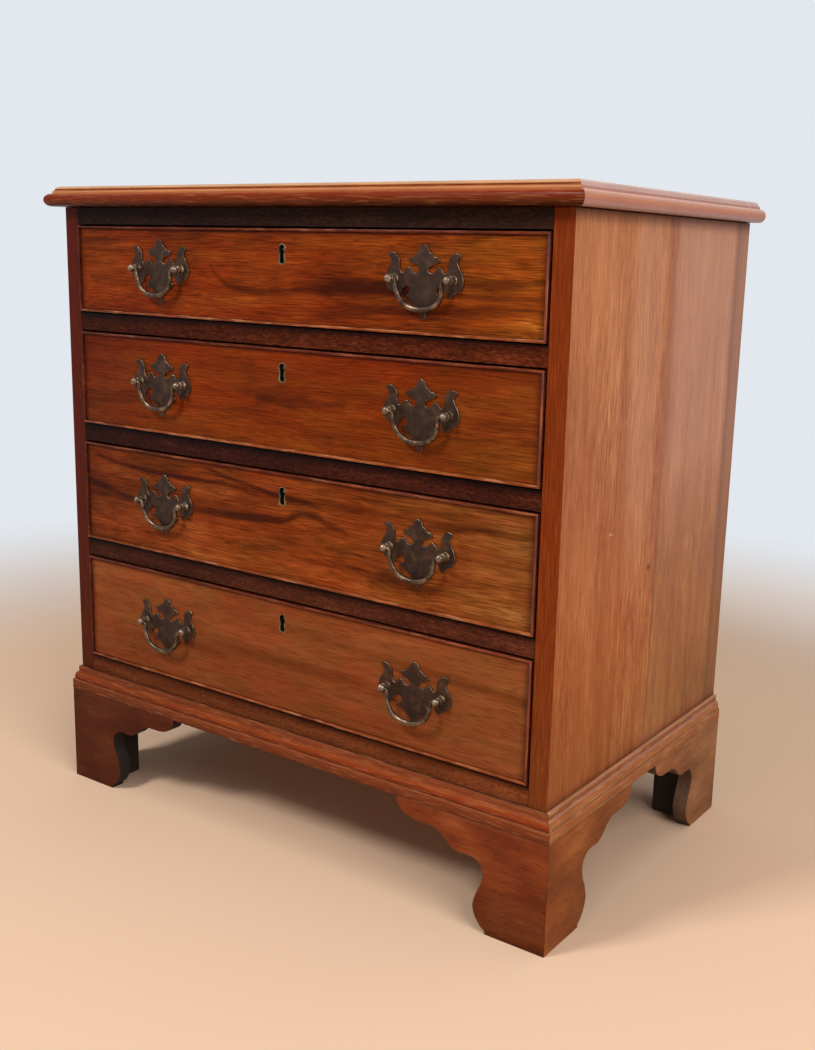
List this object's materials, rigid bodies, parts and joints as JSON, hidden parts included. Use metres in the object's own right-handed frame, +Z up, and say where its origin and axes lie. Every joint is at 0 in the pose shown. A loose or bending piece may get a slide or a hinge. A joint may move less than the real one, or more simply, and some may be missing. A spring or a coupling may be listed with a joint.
{
  "type": "bachelors chest",
  "caption": "Low chest of graduated cockbeaded drawers with moulded top, batwing bail handles, keyhole escutcheons, base moulding and ogee bracket feet.",
  "frame": {"origin": "on the floor under the middle of the whole chest's width and depth", "axes": "+Z up, +X to the right seen from the front, drawers open towards -Y"},
  "size_m": [0.736, 0.445, 0.76],
  "materials": {
    "walnut_front": "figured walnut, polished",
    "walnut_rail": "dark reddish walnut, polished",
    "walnut_side": "solid walnut side, worn polish",
    "walnut_moulding": "moulded walnut, rubbed arrises",
    "walnut_top": "walnut top board, polished",
    "cockbead": "thin rounded walnut bead, polished",
    "oak_lining": "oak drawer lining, unpolished",
    "deal_back": "deal boards, unpolished",
    "aged_brass": "cast brass, dark patina",
    "rubbed_brass": "cast brass, rubbed by handling",
    "lock_brass": "plain brass",
    "lock_iron": "wrought iron and steel"
  },
  "bodies": {
    "carcase": {"top_board": "walnut_top", "side_left": "walnut_side", "side_right": "walnut_side", "back_panel": "deal_back", "top_frame": "walnut_rail", "divider_1": "walnut_rail", "divider_2": "walnut_rail", "divider_3": "walnut_rail", "bottom_frame": "walnut_rail", "base_moulding_front": "walnut_moulding", "base_moulding_left": "walnut_moulding", "base_moulding_right": "walnut_moulding", "foot_front_left": "walnut_moulding", "foot_front_right": "walnut_moulding", "foot_back_left": "walnut_moulding", "foot_back_right": "walnut_moulding"},
    "drawer_1": {"drawer_1_front": "walnut_front", "drawer_1_cockbead": "cockbead", "drawer_1_box": "oak_lining", "drawer_1_bottom": "oak_lining", "drawer_1_escutcheon": "lock_brass", "drawer_1_lock_case": "lock_iron", "drawer_1_left_plate": "aged_brass", "drawer_1_right_plate": "aged_brass"},
    "drawer_1_left_handle": {"drawer_1_left_bail": "rubbed_brass"},
    "drawer_1_right_handle": {"drawer_1_right_bail": "rubbed_brass"},
    "drawer_1_bolt": {"drawer_1_lock_bolt": "lock_brass"},
    "drawer_2": {"drawer_2_front": "walnut_front", "drawer_2_cockbead": "cockbead", "drawer_2_box": "oak_lining", "drawer_2_bottom": "oak_lining", "drawer_2_escutcheon": "lock_brass", "drawer_2_lock_case": "lock_iron", "drawer_2_left_plate": "aged_brass", "drawer_2_right_plate": "aged_brass"},
    "drawer_2_left_handle": {"drawer_2_left_bail": "rubbed_brass"},
    "drawer_2_right_handle": {"drawer_2_right_bail": "rubbed_brass"},
    "drawer_2_bolt": {"drawer_2_lock_bolt": "lock_brass"},
    "drawer_3": {"drawer_3_front": "walnut_front", "drawer_3_cockbead": "cockbead", "drawer_3_box": "oak_lining", "drawer_3_bottom": "oak_lining", "drawer_3_escutcheon": "lock_brass", "drawer_3_lock_case": "lock_iron", "drawer_3_left_plate": "aged_brass", "drawer_3_right_plate": "aged_brass"},
    "drawer_3_left_handle": {"drawer_3_left_bail": "rubbed_brass"},
    "drawer_3_right_handle": {"drawer_3_right_bail": "rubbed_brass"},
    "drawer_3_bolt": {"drawer_3_lock_bolt": "lock_brass"},
    "drawer_4": {"drawer_4_front": "walnut_front", "drawer_4_cockbead": "cockbead", "drawer_4_box": "oak_lining", "drawer_4_bottom": "oak_lining", "drawer_4_escutcheon": "lock_brass", "drawer_4_lock_case": "lock_iron", "drawer_4_left_plate": "aged_brass", "drawer_4_right_plate": "aged_brass"},
    "drawer_4_left_handle": {"drawer_4_left_bail": "rubbed_brass"},
    "drawer_4_right_handle": {"drawer_4_right_bail": "rubbed_brass"},
    "drawer_4_bolt": {"drawer_4_lock_bolt": "lock_brass"}
  },
  "joints": [
    {"name": "drawer_1_slide", "type": "slide", "parent": "carcase", "child": "drawer_1", "axis": [0, -1, 0], "range_m": [0, 0.3]},
    {"name": "drawer_1_left_bail_swing", "type": "hinge", "parent": "drawer_1", "child": "drawer_1_left_handle", "pos_m": [-0.186, -0.2164, 0.6671], "axis": [-1, 0, 0], "range_deg": [-7, 95]},
    {"name": "drawer_1_right_bail_swing", "type": "hinge", "parent": "drawer_1", "child": "drawer_1_right_handle", "pos_m": [0.186, -0.2164, 0.6671], "axis": [-1, 0, 0], "range_deg": [0, 95]},
    {"name": "drawer_1_bolt_throw", "type": "slide", "parent": "drawer_1", "child": "drawer_1_bolt", "axis": [0, 0, 1], "range_m": [0, 0.0065]},
    {"name": "drawer_2_slide", "type": "slide", "parent": "carcase", "child": "drawer_2", "axis": [0, -1, 0], "range_m": [0, 0.3]},
    {"name": "drawer_2_left_bail_swing", "type": "hinge", "parent": "drawer_2", "child": "drawer_2_left_handle", "pos_m": [-0.186, -0.2164, 0.536], "axis": [-1, 0, 0], "range_deg": [-7.5, 95]},
    {"name": "drawer_2_right_bail_swing", "type": "hinge", "parent": "drawer_2", "child": "drawer_2_right_handle", "pos_m": [0.186, -0.2164, 0.536], "axis": [-1, 0, 0], "range_deg": [-3.5, 95]},
    {"name": "drawer_2_bolt_throw", "type": "slide", "parent": "drawer_2", "child": "drawer_2_bolt", "axis": [0, 0, 1], "range_m": [0, 0.0065]},
    {"name": "drawer_3_slide", "type": "slide", "parent": "carcase", "child": "drawer_3", "axis": [0, -1, 0], "range_m": [0, 0.3]},
    {"name": "drawer_3_left_bail_swing", "type": "hinge", "parent": "drawer_3", "child": "drawer_3_left_handle", "pos_m": [-0.186, -0.2164, 0.3934], "axis": [-1, 0, 0], "range_deg": [-4.5, 95]},
    {"name": "drawer_3_right_bail_swing", "type": "hinge", "parent": "drawer_3", "child": "drawer_3_right_handle", "pos_m": [0.186, -0.2164, 0.3934], "axis": [-1, 0, 0], "range_deg": [-8, 95]},
    {"name": "drawer_3_bolt_throw", "type": "slide", "parent": "drawer_3", "child": "drawer_3_bolt", "axis": [0, 0, 1], "range_m": [0, 0.0065]},
    {"name": "drawer_4_slide", "type": "slide", "parent": "carcase", "child": "drawer_4", "axis": [0, -1, 0], "range_m": [0, 0.3]},
    {"name": "drawer_4_left_bail_swing", "type": "hinge", "parent": "drawer_4", "child": "drawer_4_left_handle", "pos_m": [-0.186, -0.2164, 0.2405], "axis": [-1, 0, 0], "range_deg": [-11.5, 95]},
    {"name": "drawer_4_right_bail_swing", "type": "hinge", "parent": "drawer_4", "child": "drawer_4_right_handle", "pos_m": [0.186, -0.2164, 0.2405], "axis": [-1, 0, 0], "range_deg": [-14.5, 95]},
    {"name": "drawer_4_bolt_throw", "type": "slide", "parent": "drawer_4", "child": "drawer_4_bolt", "axis": [0, 0, 1], "range_m": [0, 0.0065]}
  ]
}
